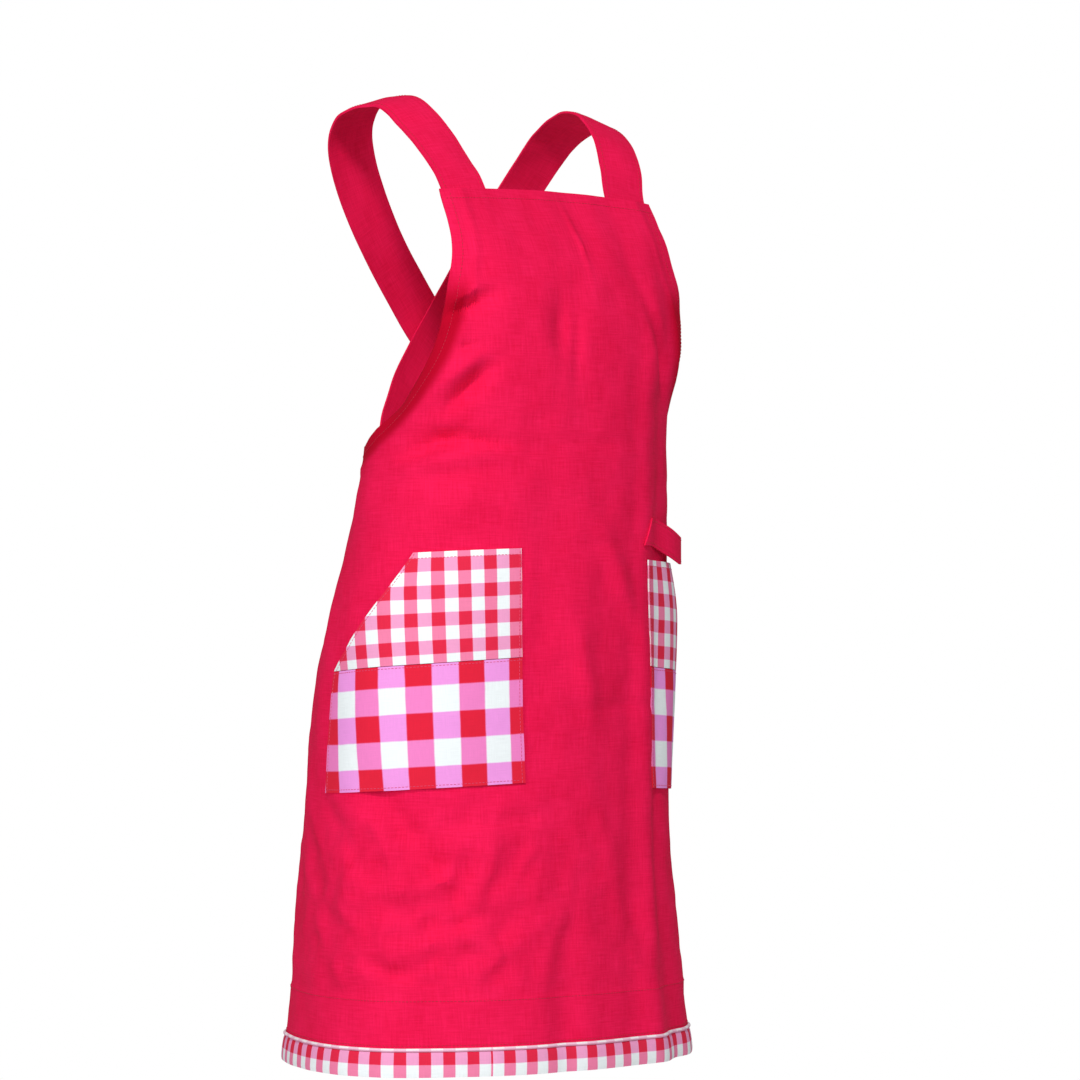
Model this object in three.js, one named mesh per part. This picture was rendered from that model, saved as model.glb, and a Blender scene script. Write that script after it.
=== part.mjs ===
import * as THREE from "three";

// A cross back apron as it hangs when worn. Millimetres, +Z is up, the wearer faces -Y
// and +X is the wearer's left. The origin is at the height of the strap crests, midway
// between the two straps. Every piece is laid on one cloth surface, which is a table of
// body sections with a few folds added.

const DROP = 884; // strap crest down to the hem
const HALF_WIDTH = 210; // widest half of the skirt
const HALF_DEPTH = 200; // deepest half of the skirt
const CLOTH = 1.4; // wall of one layer of linen
const TURNING = 1.0; // what a turned hem adds on the inside
const SEWN_GAP = 0.45; // between two layers that are sewn together
const DEG = Math.PI / 180;

const FAN = 3; // how late the columns turn from the hem toward the top edge
const TURNED_HEM_TOP = 0.922; // share of DROP
const PANEL_ROWS = 19;

// Half widths are shares of HALF_WIDTH, depths are shares of HALF_DEPTH. square is the
// exponent of the section curve: 2 is an ellipse and more is flatter in front.
const SECTIONS = [
  { down: 0.0, right: 0.714, left: 0.714, front: 0.125, back: 0.3, square: 3.2 },
  { down: 0.0995, right: 0.786, left: 0.786, front: 0.275, back: 0.44, square: 4.4 },
  { down: 0.17, right: 0.786, left: 0.83, front: 0.46, back: 0.5, square: 2.9 },
  { down: 0.215, right: 0.786, left: 0.85, front: 0.515, back: 0.51, square: 2.75 },
  { down: 0.26, right: 0.785, left: 0.82, front: 0.547, back: 0.515, square: 2.65 },
  { down: 0.32, right: 0.771, left: 0.755, front: 0.56, back: 0.45, square: 2.4 },
  { down: 0.362, right: 0.745, left: 0.772, front: 0.565, back: 0.4, square: 2.2 },
  { down: 0.388, right: 0.728, left: 0.776, front: 0.567, back: 0.425, square: 2.18 },
  { down: 0.42, right: 0.747, left: 0.781, front: 0.569, back: 0.49, square: 2.14 },
  { down: 0.475, right: 0.783, left: 0.786, front: 0.57, back: 0.59, square: 2.1 },
  { down: 0.588, right: 0.883, left: 0.805, front: 0.57, back: 0.76, square: 2.02 },
  { down: 0.679, right: 0.912, left: 0.802, front: 0.57, back: 0.85, square: 2 },
  { down: 0.792, right: 0.914, left: 0.818, front: 0.575, back: 0.93, square: 2 },
  { down: 0.882, right: 0.933, left: 0.866, front: 0.59, back: 0.97, square: 2 },
  { down: 1.0, right: 0.972, left: 0.93, front: 0.62, back: 1.0, square: 2 },
];

// Long folds that run down the cloth. Angles are degrees from the centre front, width is
// degrees, rise is a share of FOLD_HEIGHT and a negative rise is a hollow.
const FOLD_HEIGHT = 6;
const FOLDS = [
  { from: 0.17, to: 0.52, top: 28, foot: 27, width: 5, rise: 0.5 },
  { from: 0.17, to: 0.54, top: 38, foot: 37, width: 6, rise: -0.55 },
  { from: 0.38, to: 1.1, top: 23.5, foot: 27, width: 5.5, rise: 0.75 },
  { from: 0.42, to: 1.1, top: 33, foot: 39, width: 6, rise: -0.6 },
  { from: 0.28, to: 0.66, top: -14, foot: -16, width: 6, rise: -0.35 },
  { from: 0.76, to: 1.15, top: -8, foot: -11, width: 6, rise: -0.5 },
  { from: 0.7, to: 1.15, top: -62, foot: -66, width: 8, rise: 0.4 },
  { from: 0.7, to: 1.15, top: -128, foot: -134, width: 10, rise: 0.8 },
  { from: 0.7, to: 1.15, top: 104, foot: 110, width: 10, rise: 0.7 },
  { from: 0.7, to: 1.15, top: 134, foot: 138, width: 8, rise: -0.6 },
];

// The panel's top edge, from the bib corner down the armhole and round to the back.
// hem and top are the angles at which a column starts and ends, in degrees.
const BIB_TOP = 0.1007;
const BIB_COLUMNS = 12;
const COLUMNS_A_ROW = 2;
const ARMHOLE = [
  { hem: 34, top: 39.4, down: 0.106 },
  { hem: 41, top: 40.8, down: 0.135 },
  { hem: 47, top: 42.8, down: 0.16 },
  { hem: 53, top: 45.4, down: 0.188 },
  { hem: 60, top: 50.9, down: 0.24 },
  { hem: 69, top: 58.4, down: 0.281 },
  { hem: 80, top: 70.5, down: 0.317 },
  { hem: 91, top: 81.5, down: 0.3365 },
  { hem: 102, top: 93, down: 0.3515 },
  { hem: 114, top: 106, down: 0.361 },
  { hem: 127, top: 122, down: 0.3655 },
  { hem: 144, top: 142, down: 0.363 },
  { hem: 160, top: 160, down: 0.3575 },
];

// Slopes of a smooth curve through the rows of a table, read at one place.
function smooth(rows, at, key, place) {
  const last = rows.length - 1;
  const slope = (i) => (rows[i + 1][key] - rows[i][key]) / (at(i + 1) - at(i));
  const bend = (i) => {
    if (i === 0) return slope(0);
    if (i === last) return slope(last - 1);
    const before = at(i) - at(i - 1);
    const after = at(i + 1) - at(i);
    return (slope(i - 1) * after + slope(i) * before) / (before + after);
  };
  let i = 0;
  while (i < last - 1 && at(i + 1) < place) i += 1;
  const run = at(i + 1) - at(i);
  const t = (place - at(i)) / run;
  const rise = rows[i + 1][key] - rows[i][key];
  const a = bend(i) * run;
  const b = bend(i + 1) * run;
  const cubic = t * t * (3 * rise - 2 * a - b) + t * t * t * (a + b - 2 * rise);
  return rows[i][key] + t * a + cubic;
}

function section(key, z) {
  return smooth(SECTIONS, (i) => SECTIONS[i].down, key, -z / DROP);
}

// A point of the body form: angle in degrees from the centre front, z in millimetres.
function form(angle, z) {
  const s = Math.sin(angle * DEG);
  const c = Math.cos(angle * DEG);
  const n = section("square", z);
  const k = Math.pow(Math.pow(Math.abs(s), n) + Math.pow(Math.abs(c), n), -1 / n);
  const half = HALF_WIDTH * section(s > 0 ? "left" : "right", z);
  const depth = HALF_DEPTH * section(c > 0 ? "front" : "back", z);
  return new THREE.Vector3(half * s * k, -depth * c * k, z);
}

function ease(low, high, value) {
  const t = THREE.MathUtils.clamp((value - low) / (high - low), 0, 1);
  return t * t * (3 - 2 * t);
}

function foldRise(angle, z) {
  const down = -z / DROP;
  let rise = 0;
  for (const fold of FOLDS) {
    const t = (down - fold.from) / (fold.to - fold.from);
    if (t <= 0 || t >= 1) continue;
    const middle = THREE.MathUtils.lerp(fold.top, fold.foot, t);
    const across = (angle - middle) / fold.width;
    const ends = ease(0, 0.3, t) * (fold.to > 1 ? 1 : ease(0, 0.3, 1 - t));
    rise += FOLD_HEIGHT * fold.rise * ends * Math.exp(-across * across);
  }
  return rise;
}

// The outer face of the red cloth: the form, pushed out level by the folds.
function cloth(angle, z) {
  const step = 0.05;
  const along = form(angle + step, z).sub(form(angle - step, z));
  const out = new THREE.Vector3(along.y, -along.x, 0).normalize();
  return form(angle, z).addScaledVector(out, foldRise(angle, z));
}

function outward(angle, z) {
  const step = 0.5;
  const around = cloth(angle + step, z).sub(cloth(angle - step, z));
  const up = cloth(angle, z + 1).sub(cloth(angle, z - 1));
  return around.cross(up).normalize();
}

function layer(angle, z, offset) {
  return cloth(angle, z).addScaledVector(outward(angle, z), offset);
}

// One closed wall from a grid of outer points and a grid of inner points.
function wall(columns, rows, outer, inner) {
  const points = [];
  for (const face of [outer, inner])
    for (let j = 0; j <= rows; j += 1)
      for (let i = 0; i <= columns; i += 1) points.push(...face(i, j).toArray());
  const wide = columns + 1;
  const back = wide * (rows + 1);
  const o = (i, j) => j * wide + i;
  const n = (i, j) => back + j * wide + i;
  const faces = [];
  const quad = (a, b, c, d) => faces.push(a, b, c, a, c, d);
  for (let j = 0; j < rows; j += 1)
    for (let i = 0; i < columns; i += 1) {
      quad(o(i, j), o(i + 1, j), o(i + 1, j + 1), o(i, j + 1));
      quad(n(i, j + 1), n(i + 1, j + 1), n(i + 1, j), n(i, j));
    }
  for (let i = 0; i < columns; i += 1) {
    quad(n(i, 0), n(i + 1, 0), o(i + 1, 0), o(i, 0));
    quad(o(i, rows), o(i + 1, rows), n(i + 1, rows), n(i, rows));
  }
  for (let j = 0; j < rows; j += 1) {
    quad(o(0, j), o(0, j + 1), n(0, j + 1), n(0, j));
    quad(n(columns, j), n(columns, j + 1), o(columns, j + 1), o(columns, j));
  }
  const geometry = new THREE.BufferGeometry();
  geometry.setAttribute("position", new THREE.Float32BufferAttribute(points, 3));
  geometry.setIndex(faces);
  geometry.computeVertexNormals();
  return geometry;
}

const LINEN_RED = "#e61a48";
const STRAP_RED = "#dc1a42";
const SMALL_GINGHAM = "#f28ca6";
const LARGE_GINGHAM = "#f3a0c4";
const PIPING_PINK = "#f48db4";

const apron = new THREE.Group();
apron.name = "cross_back_apron";

function addPiece(name, geometry, colour, roughness) {
  const material = new THREE.MeshStandardMaterial({ color: colour, roughness, metalness: 0 });
  const mesh = new THREE.Mesh(geometry, material);
  mesh.name = name;
  apron.add(mesh);
}

// The front panel: bib and skirt in one.
const PANEL_FOOT = 0.9975; // share of DROP; the hem band reaches a little lower
const HALF_COLUMNS = BIB_COLUMNS + COLUMNS_A_ROW * (ARMHOLE.length - 1);

// Where a column of the panel starts and ends, by its number from the centre front.
function column(number) {
  const side = Math.sign(number);
  const place = Math.abs(number);
  if (place <= BIB_COLUMNS) {
    const share = place / BIB_COLUMNS;
    const corner = ARMHOLE[0];
    return {
      hem: side * corner.hem * share,
      top: side * corner.top * share,
      down: THREE.MathUtils.lerp(BIB_TOP, corner.down, share * share),
    };
  }
  const at = (i) => i;
  const row = (place - BIB_COLUMNS) / COLUMNS_A_ROW;
  return {
    hem: side * smooth(ARMHOLE, at, "hem", row),
    top: side * smooth(ARMHOLE, at, "top", row),
    down: smooth(ARMHOLE, at, "down", row),
  };
}

// The lowest rows are level, for the turned hem; the others are shared out above them.
const LEVEL_ROWS = [PANEL_FOOT, 0.972, 0.95, 0.928, 0.922];

function panelSpot(i, j) {
  const { hem, top, down } = column(i - HALF_COLUMNS);
  const low = LEVEL_ROWS.length - 1;
  const share = (j - low) / (PANEL_ROWS + 1 - LEVEL_ROWS.length + low);
  const depth = j <= low ? LEVEL_ROWS[j] : THREE.MathUtils.lerp(LEVEL_ROWS[low], down, share);
  const climbed = (PANEL_FOOT - depth) / (PANEL_FOOT - down);
  return {
    angle: THREE.MathUtils.lerp(hem, top, Math.pow(climbed, FAN)),
    z: -DROP * depth,
  };
}

function panelWall(z) {
  return CLOTH + TURNING * ease(-DROP * (TURNED_HEM_TOP - 0.003), -DROP * (TURNED_HEM_TOP + 0.004), z);
}

function panelGeometry() {
  const rows = PANEL_ROWS + LEVEL_ROWS.length - 1;
  const outer = (i, j) => {
    const { angle, z } = panelSpot(i, j);
    return cloth(angle, z);
  };
  const inner = (i, j) => {
    const { angle, z } = panelSpot(i, j);
    return layer(angle, z, -panelWall(z));
  };
  return wall(2 * HALF_COLUMNS, rows, outer, inner);
}

addPiece("front_panel", panelGeometry(), LINEN_RED, 0.85);

// The straps: flat double linen, sewn behind the bib and inside the opposite back corner.
const STRAP_WIDTH = 49;
const STRAP_WALL = 2.2;
const STRAP_GAP = 1.4; // to the panel where the strap is sewn to it
const STRAP_COLUMNS = 3;
const ROWS_A_SPAN = 3;

// out is a share of HALF_WIDTH toward the strap's own shoulder, back a share of HALF_DEPTH,
// face the degrees its outer side has turned from facing forward, lean its tip to the side
// and cling how far it follows the inside of the panel.
const STRAP_RIGHT = [
  { out: 0.45, back: -0.35, down: 0.138, face: 0, lean: 0, cling: 1 },
  { out: 0.455, back: -0.26, down: 0.104, face: 8, lean: 0, cling: 1 },
  { out: 0.47, back: -0.19, down: 0.08, face: 25, lean: 0, cling: 0.25 },
  { out: 0.486, back: -0.08, down: 0.051, face: 42, lean: 0.1, cling: 0 },
  { out: 0.505, back: 0.03, down: 0.026, face: 62, lean: 0.2, cling: 0 },
  { out: 0.528, back: 0.13, down: 0.0095, face: 82, lean: 0.26, cling: 0 },
  { out: 0.553, back: 0.26, down: 0.0085, face: 100, lean: 0.26, cling: 0 },
  { out: 0.555, back: 0.39, down: 0.018, face: 118, lean: 0.2, cling: 0 },
  { out: 0.522, back: 0.49, down: 0.043, face: 145, lean: 0.1, cling: 0 },
  { out: 0.43, back: 0.545, down: 0.088, face: 168, lean: 0, cling: 0 },
  { out: 0.29, back: 0.575, down: 0.143, face: 178, lean: 0, cling: 0 },
  { out: 0.14, back: 0.578, down: 0.195, face: 180, lean: 0, cling: 0 },
  { out: 0.0, back: 0.563, down: 0.243, face: 182, lean: 0, cling: 0 },
  { out: -0.15, back: 0.522, down: 0.289, face: 184, lean: 0, cling: 0.1 },
  { out: -0.29, back: 0.44, down: 0.33, face: 186, lean: 0, cling: 1 },
  { out: -0.38, back: 0.36, down: 0.358, face: 184, lean: 0, cling: 1 },
  { out: -0.43, back: 0.36, down: 0.383, face: 180, lean: 0, cling: 1 },
];
const STRAP_LEFT = [
  { out: 0.452, back: -0.35, down: 0.138, face: 0, lean: 0, cling: 1 },
  { out: 0.464, back: -0.26, down: 0.104, face: 8, lean: 0, cling: 1 },
  { out: 0.486, back: -0.2, down: 0.07, face: 20, lean: 0, cling: 0.25 },
  { out: 0.496, back: -0.13, down: 0.041, face: 34, lean: 0.1, cling: 0 },
  { out: 0.504, back: -0.03, down: 0.02, face: 56, lean: 0.2, cling: 0 },
  { out: 0.512, back: 0.09, down: 0.0125, face: 80, lean: 0.26, cling: 0 },
  { out: 0.522, back: 0.22, down: 0.018, face: 102, lean: 0.26, cling: 0 },
  { out: 0.522, back: 0.35, down: 0.034, face: 125, lean: 0.2, cling: 0 },
  { out: 0.49, back: 0.45, down: 0.062, face: 148, lean: 0.1, cling: 0 },
  { out: 0.4, back: 0.505, down: 0.103, face: 168, lean: 0, cling: 0 },
  { out: 0.27, back: 0.526, down: 0.15, face: 178, lean: 0, cling: 0 },
  { out: 0.14, back: 0.529, down: 0.197, face: 180, lean: 0, cling: 0 },
  { out: 0.0, back: 0.518, down: 0.243, face: 182, lean: 0, cling: 0 },
  { out: -0.15, back: 0.483, down: 0.289, face: 184, lean: 0, cling: 0.1 },
  { out: -0.29, back: 0.42, down: 0.33, face: 186, lean: 0, cling: 1 },
  { out: -0.38, back: 0.36, down: 0.358, face: 184, lean: 0, cling: 1 },
  { out: -0.43, back: 0.36, down: 0.383, face: 180, lean: 0, cling: 1 },
];

// The angle at which the form reaches a given x, on the front or on the back half.
function angleAt(x, z, onBack) {
  let near = onBack ? 180 : 0;
  let far = 90;
  for (let turn = 0; turn < 30; turn += 1) {
    const middle = (near + far) / 2;
    const reach = Math.abs(form(Math.sign(x || 1) * middle, z).x);
    if (reach < Math.abs(x)) near = middle;
    else far = middle;
  }
  return (Math.sign(x || 1) * (near + far)) / 2;
}

function strapGeometry(table, side) {
  const last = table.length - 1;
  const rows = last * ROWS_A_SPAN;
  const at = (i) => i;
  const read = (key, row) => smooth(table, at, key, THREE.MathUtils.clamp(row, 0, last));
  const centre = (row) =>
    new THREE.Vector3(
      side * HALF_WIDTH * read("out", row),
      HALF_DEPTH * read("back", row),
      -DROP * read("down", row),
    );
  const point = (i, j, offset) => {
    const row = j / ROWS_A_SPAN;
    const along = centre(row + 0.05).sub(centre(row - 0.05)).normalize();
    const turned = read("face", row) * DEG;
    const facing = new THREE.Vector3(side * read("lean", row), -Math.cos(turned), Math.sin(turned));
    const across = along.clone().cross(facing).normalize();
    const up = across.clone().cross(along).normalize();
    const shift = STRAP_WIDTH * (i / STRAP_COLUMNS - 0.5);
    const free = centre(row).addScaledVector(across, shift);
    const cling = ease(0, 1, read("cling", row));
    const loose = free.clone().addScaledVector(up, offset);
    if (cling <= 0) return loose;
    const angle = angleAt(free.x, free.z, row > last / 2);
    const sewn = layer(angle, free.z, offset - CLOTH - STRAP_GAP - STRAP_WALL / 2);
    return loose.lerp(sewn, cling);
  };
  const outer = (i, j) => point(i, j, STRAP_WALL / 2);
  const inner = (i, j) => point(i, j, -STRAP_WALL / 2);
  return wall(STRAP_COLUMNS, rows, outer, inner);
}

addPiece("strap_right", strapGeometry(STRAP_RIGHT, -1), STRAP_RED, 0.85);
addPiece("strap_left", strapGeometry(STRAP_LEFT, 1), STRAP_RED, 0.85);

// The patch pockets: small gingham above, large gingham below, sewn flat except along the
// slanted mouth, where the cloth stands off.
const POCKET_WALL = 1.4;
const POCKET_GAP = 1.1; // to the panel where the pocket is sewn to it
const POCKET_SLACK = 7; // how far the mouth stands off
const BELLY = 0.55; // what share of it the middle of the pocket has
const SEAM = 0.0006; // share of DROP between upper and lower
const LEFT_POCKET_DROP = 0.011; // the towel pulls that side down
const POCKET_COLUMNS = 14;
const POCKET_ROWS = 6;
const INNER_CROWD = 1.5; // crowds the columns toward the inner edge, where the fold runs
const MOUTH_BOW = 3; // degrees by which the slanted edge is cut back halfway down

// turn is how many degrees further round the wearer's left pocket sits than the right one.
const POCKET = [
  { outer: 64.8, outerDown: 0.475, inner: 26, innerDown: 0.4702, turn: 1 },
  { outer: 97.3, outerDown: 0.5955, inner: 23.2, innerDown: 0.58, turn: 4.3 },
  { outer: 98.1, outerDown: 0.7185, inner: 21.4, innerDown: 0.707, turn: 11 },
];

function pocketSlack(across, up, isUpper) {
  const belly = BELLY * Math.sin(Math.PI * across);
  if (!isUpper) return POCKET_SLACK * belly * Math.sin((Math.PI / 2) * up);
  const mouth = Math.pow(1 - across, 1.2) * Math.sin(Math.PI * up);
  return POCKET_SLACK * (mouth + belly * (1 - up));
}

function pocketGeometry(side, isUpper) {
  const high = POCKET[isUpper ? 0 : 1];
  const low = POCKET[isUpper ? 1 : 2];
  const lowered = side > 0 ? LEFT_POCKET_DROP : 0;
  const shift = isUpper ? 0 : SEAM;
  const mix = THREE.MathUtils.lerp;
  const point = (i, j, offset) => {
    const fromInner = side < 0 ? 1 - i / POCKET_COLUMNS : i / POCKET_COLUMNS;
    const across = 1 - Math.pow(fromInner, INNER_CROWD);
    const up = j / POCKET_ROWS;
    const bow = isUpper ? MOUTH_BOW * Math.sin(Math.PI * up) : 0;
    const turn = side > 0 ? mix(low.turn, high.turn, up) : 0;
    const outer = mix(low.outer, high.outer, up) - bow + turn;
    const inner = mix(low.inner, high.inner, up) + turn;
    const outerDown = mix(low.outerDown, high.outerDown, up);
    const innerDown = mix(low.innerDown, high.innerDown, up);
    const topShift = shift * up;
    const down = mix(outerDown, innerDown, across) + lowered + topShift;
    const out = POCKET_GAP + pocketSlack(across, up, isUpper);
    return layer(side * mix(outer, inner, across), -DROP * down, out + offset);
  };
  return wall(
    POCKET_COLUMNS,
    POCKET_ROWS,
    (i, j) => point(i, j, POCKET_WALL),
    (i, j) => point(i, j, 0),
  );
}

addPiece("pocket_right_upper", pocketGeometry(-1, true), SMALL_GINGHAM, 0.8);
addPiece("pocket_right_lower", pocketGeometry(-1, false), LARGE_GINGHAM, 0.8);
addPiece("pocket_left_upper", pocketGeometry(1, true), SMALL_GINGHAM, 0.8);
addPiece("pocket_left_lower", pocketGeometry(1, false), LARGE_GINGHAM, 0.8);

// The hem: a gingham band over the foot of the panel, under a narrow folded flange.
const BAND_WALL = 1.6;
const BAND_TOP = 0.975;
const BAND_SPREAD = 1.2; // how much further out the lower edge stands
const PIPING_TOP = 0.971;
const PIPING_WALL = 2.4;
const PIPING_SEAM = 0.0005;

function hemStrip(top, foot, rows, thick, spread) {
  const point = (i, j, offset) => {
    const { hem } = column(i - HALF_COLUMNS);
    const down = THREE.MathUtils.lerp(foot, top, j / rows);
    const out = SEWN_GAP + spread * (1 - j / rows);
    return layer(hem, -DROP * down, out + offset);
  };
  return wall(
    2 * HALF_COLUMNS,
    rows,
    (i, j) => point(i, j, thick),
    (i, j) => point(i, j, 0),
  );
}

addPiece("hem_band", hemStrip(BAND_TOP, 1, 2, BAND_WALL, BAND_SPREAD), SMALL_GINGHAM, 0.8);
addPiece("hem_piping", hemStrip(PIPING_TOP, BAND_TOP - PIPING_SEAM, 1, PIPING_WALL, 0), PIPING_PINK, 0.8);

// The towel loop: a slack strip at the left hip, sewn flat at both ends.
const LOOP_WIDTH = 25;
const LOOP_WALL = 1.6;
const LOOP_GAP = 1.0;
const LOOP_STAND = 9.5;
const LOOP_SAG = 17;
const LOOP_COLUMNS = 20;
const LOOP_ROWS = 2;
const LOOP_START = { angle: 27, down: 0.4525 };
const LOOP_END = { angle: 88, down: 0.452 };
const LOOP_SEWN = 0.06; // share of its length that lies flat at each end
const LOOP_SLANT = 2.5; // degrees by which its front end is cut aslant

function loopGeometry() {
  const point = (i, j, offset) => {
    const share = i / LOOP_COLUMNS;
    const slack = ease(LOOP_SEWN, 0.46, share) * ease(LOOP_SEWN, 0.46, 1 - share);
    const slant = LOOP_SLANT * (2 * (j / LOOP_ROWS) - 1) * (1 - share);
    const angle = THREE.MathUtils.lerp(LOOP_START.angle, LOOP_END.angle, share) + slant;
    const down = THREE.MathUtils.lerp(LOOP_START.down, LOOP_END.down, share);
    const z = -DROP * down - LOOP_SAG * slack + LOOP_WIDTH * (j / LOOP_ROWS - 0.5);
    return layer(angle, z, LOOP_GAP + LOOP_STAND * slack + offset);
  };
  return wall(
    LOOP_COLUMNS,
    LOOP_ROWS,
    (i, j) => point(i, j, LOOP_WALL),
    (i, j) => point(i, j, 0),
  );
}

addPiece("towel_loop", loopGeometry(), LINEN_RED, 0.85);

export default apron;
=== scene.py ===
import math

import bpy
import numpy as np
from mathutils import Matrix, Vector


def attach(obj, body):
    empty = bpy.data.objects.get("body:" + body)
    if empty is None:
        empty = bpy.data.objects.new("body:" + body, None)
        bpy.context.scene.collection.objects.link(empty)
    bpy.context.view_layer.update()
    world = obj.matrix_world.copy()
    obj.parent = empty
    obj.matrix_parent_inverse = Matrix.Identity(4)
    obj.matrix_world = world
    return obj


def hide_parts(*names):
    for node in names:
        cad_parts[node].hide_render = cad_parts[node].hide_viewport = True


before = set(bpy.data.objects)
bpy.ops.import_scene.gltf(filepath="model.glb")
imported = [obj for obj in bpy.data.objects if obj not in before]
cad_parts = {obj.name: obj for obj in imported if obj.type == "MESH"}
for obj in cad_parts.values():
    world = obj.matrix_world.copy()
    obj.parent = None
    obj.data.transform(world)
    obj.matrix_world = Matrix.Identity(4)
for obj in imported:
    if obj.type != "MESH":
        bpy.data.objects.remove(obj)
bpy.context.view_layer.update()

# The apron is laid on one cloth surface: a table of body sections, long folds, and creases.
# Lengths are metres, angles are degrees from the centre front, + toward the wearer's left.
size = {"drop": 0.884, "halfWidth": 0.210, "halfDepth": 0.200, "cloth": 0.0014}

# down, right, left, front, back, squareness of each body section
sections = np.array([
    [0, 0.714, 0.714, 0.125, 0.3, 3.2],
    [0.0995, 0.786, 0.786, 0.275, 0.44, 4.4],
    [0.17, 0.786, 0.83, 0.46, 0.5, 2.9],
    [0.215, 0.786, 0.85, 0.515, 0.51, 2.75],
    [0.26, 0.785, 0.82, 0.547, 0.515, 2.65],
    [0.32, 0.771, 0.755, 0.56, 0.45, 2.4],
    [0.362, 0.745, 0.772, 0.565, 0.4, 2.2],
    [0.388, 0.728, 0.776, 0.567, 0.425, 2.18],
    [0.42, 0.747, 0.781, 0.569, 0.49, 2.14],
    [0.475, 0.783, 0.786, 0.57, 0.59, 2.1],
    [0.588, 0.883, 0.805, 0.57, 0.76, 2.02],
    [0.679, 0.912, 0.802, 0.57, 0.85, 2],
    [0.792, 0.914, 0.818, 0.575, 0.93, 2],
    [0.882, 0.933, 0.866, 0.59, 0.97, 2],
    [1, 0.972, 0.93, 0.62, 1, 2],
])

# hem angle, top angle, down: the panel's top edge from the bib corner round to the back
armhole = np.array([
    [34, 39.4, 0.106], [41, 40.8, 0.135], [47, 42.8, 0.16], [53, 45.4, 0.188],
    [60, 50.9, 0.24], [69, 58.4, 0.281], [80, 70.5, 0.317], [91, 81.5, 0.3365],
    [102, 93, 0.3515], [114, 106, 0.361], [127, 122, 0.3655], [144, 142, 0.363],
    [160, 160, 0.3575],
], float)

# from, to, top angle, foot angle, width, rise in metres
folds = np.array([
    [0.17, 0.52, 28, 27, 5, 0.003],
    [0.17, 0.54, 38, 37, 6, -0.0033],
    [0.38, 1.1, 23.5, 27, 5.5, 0.0045],
    [0.42, 1.1, 33, 39, 6, -0.0036],
    [0.28, 0.66, -14, -16, 6, -0.0021],
    [0.76, 1.15, -8, -11, 6, -0.003],
    [0.7, 1.15, -62, -66, 8, 0.0024],
    [0.7, 1.15, -128, -134, 10, 0.0048],
    [0.7, 1.15, 104, 110, 10, 0.0042],
    [0.7, 1.15, 134, 138, 8, -0.0036],
])

creaseScale = 2.6
# Short creases: angle, down, tilt in degrees, then length, width and rise in metres.
# The rise is multiplied by creaseScale.
creases = np.array([
    [-41, 0.228, 24, 0.026, 0.0060, -0.0038], [-42, 0.214, 26, 0.024, 0.005, 0.0020],
    [-43, 0.309, 42, 0.025, 0.008, -0.0048], [-46, 0.292, 40, 0.026, 0.008, 0.0022],
    [-60, 0.367, 24, 0.026, 0.008, -0.0034], [-44, 0.362, -6, 0.040, 0.007, -0.0032],
    [-55, 0.380, 8, 0.050, 0.010, 0.0030], [-42, 0.267, 4, 0.018, 0.004, -0.0012],
    [-56, 0.420, 6, 0.070, 0.030, 0.0030], [4, 0.362, 1, 0.062, 0.0040, -0.0006],
    [8, 0.466, 1, 0.055, 0.0040, -0.0005], [10, 0.632, 1, 0.060, 0.0045, -0.0008],
    [14, 0.508, -62, 0.060, 0.012, 0.0020], [-2, 0.595, -76, 0.045, 0.012, 0.0018],
    [-9, 0.244, 86, 0.026, 0.012, -0.0026], [-3, 0.262, 84, 0.030, 0.007, -0.0012],
    [4, 0.150, -84, 0.026, 0.0022, 0.0010], [34, 0.262, -64, 0.050, 0.008, -0.0026],
    [-42, 0.850, 22, 0.034, 0.007, -0.0022], [-36, 0.868, -24, 0.026, 0.006, 0.0016],
    [-66, 0.895, -18, 0.030, 0.007, -0.0020], [-84, 0.900, 34, 0.024, 0.007, 0.0016],
    [-58, 0.760, -52, 0.060, 0.011, -0.0022], [-80, 0.800, 62, 0.050, 0.012, 0.0022],
    [-34, 0.790, 66, 0.055, 0.013, 0.0018], [-90, 0.760, -48, 0.040, 0.010, -0.0016],
    [-30, 0.745, 4, 0.045, 0.006, -0.0012], [-12, 0.860, 70, 0.050, 0.012, 0.0016],
    [10, 0.800, -70, 0.060, 0.014, 0.0018], [20, 0.860, -60, 0.050, 0.012, -0.0016],
    [31, 0.620, 88, 0.300, 0.014, 0.0013], [19, 0.620, 88, 0.300, 0.012, -0.0006],
])


def ease(low, high, value):
    t = np.clip((value - low) / (high - low), 0, 1)
    return t * t * (3 - 2 * t)


def smooth(places, values, place):
    run = np.diff(places)
    slope = np.diff(values) / run
    bend = np.empty(len(values))
    bend[0], bend[-1] = slope[0], slope[-1]
    bend[1:-1] = (slope[:-1] * run[1:] + slope[1:] * run[:-1]) / (run[:-1] + run[1:])
    place = np.asarray(place, float)
    i = np.clip(np.searchsorted(places, place) - 1, 0, len(places) - 2)
    t = (place - places[i]) / run[i]
    rise = values[i + 1] - values[i]
    a, b = bend[i] * run[i], bend[i + 1] * run[i]
    return values[i] + t * a + t * t * (3 * rise - 2 * a - b) + t ** 3 * (a + b - 2 * rise)


def form(angle, z):
    angle, z = np.broadcast_arrays(np.asarray(angle, float), np.asarray(z, float))
    down = -z / size["drop"]
    columns = (smooth(sections[:, 0], sections[:, k], down) for k in range(1, 6))
    right, left, front, back, square = columns
    s, c = np.sin(np.radians(angle)), np.cos(np.radians(angle))
    k = (np.abs(s) ** square + np.abs(c) ** square) ** (-1 / square)
    half = size["halfWidth"] * np.where(s > 0, left, right)
    depth = size["halfDepth"] * np.where(c > 0, front, back)
    return np.stack([half * s * k, -depth * c * k, z], -1)


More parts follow.
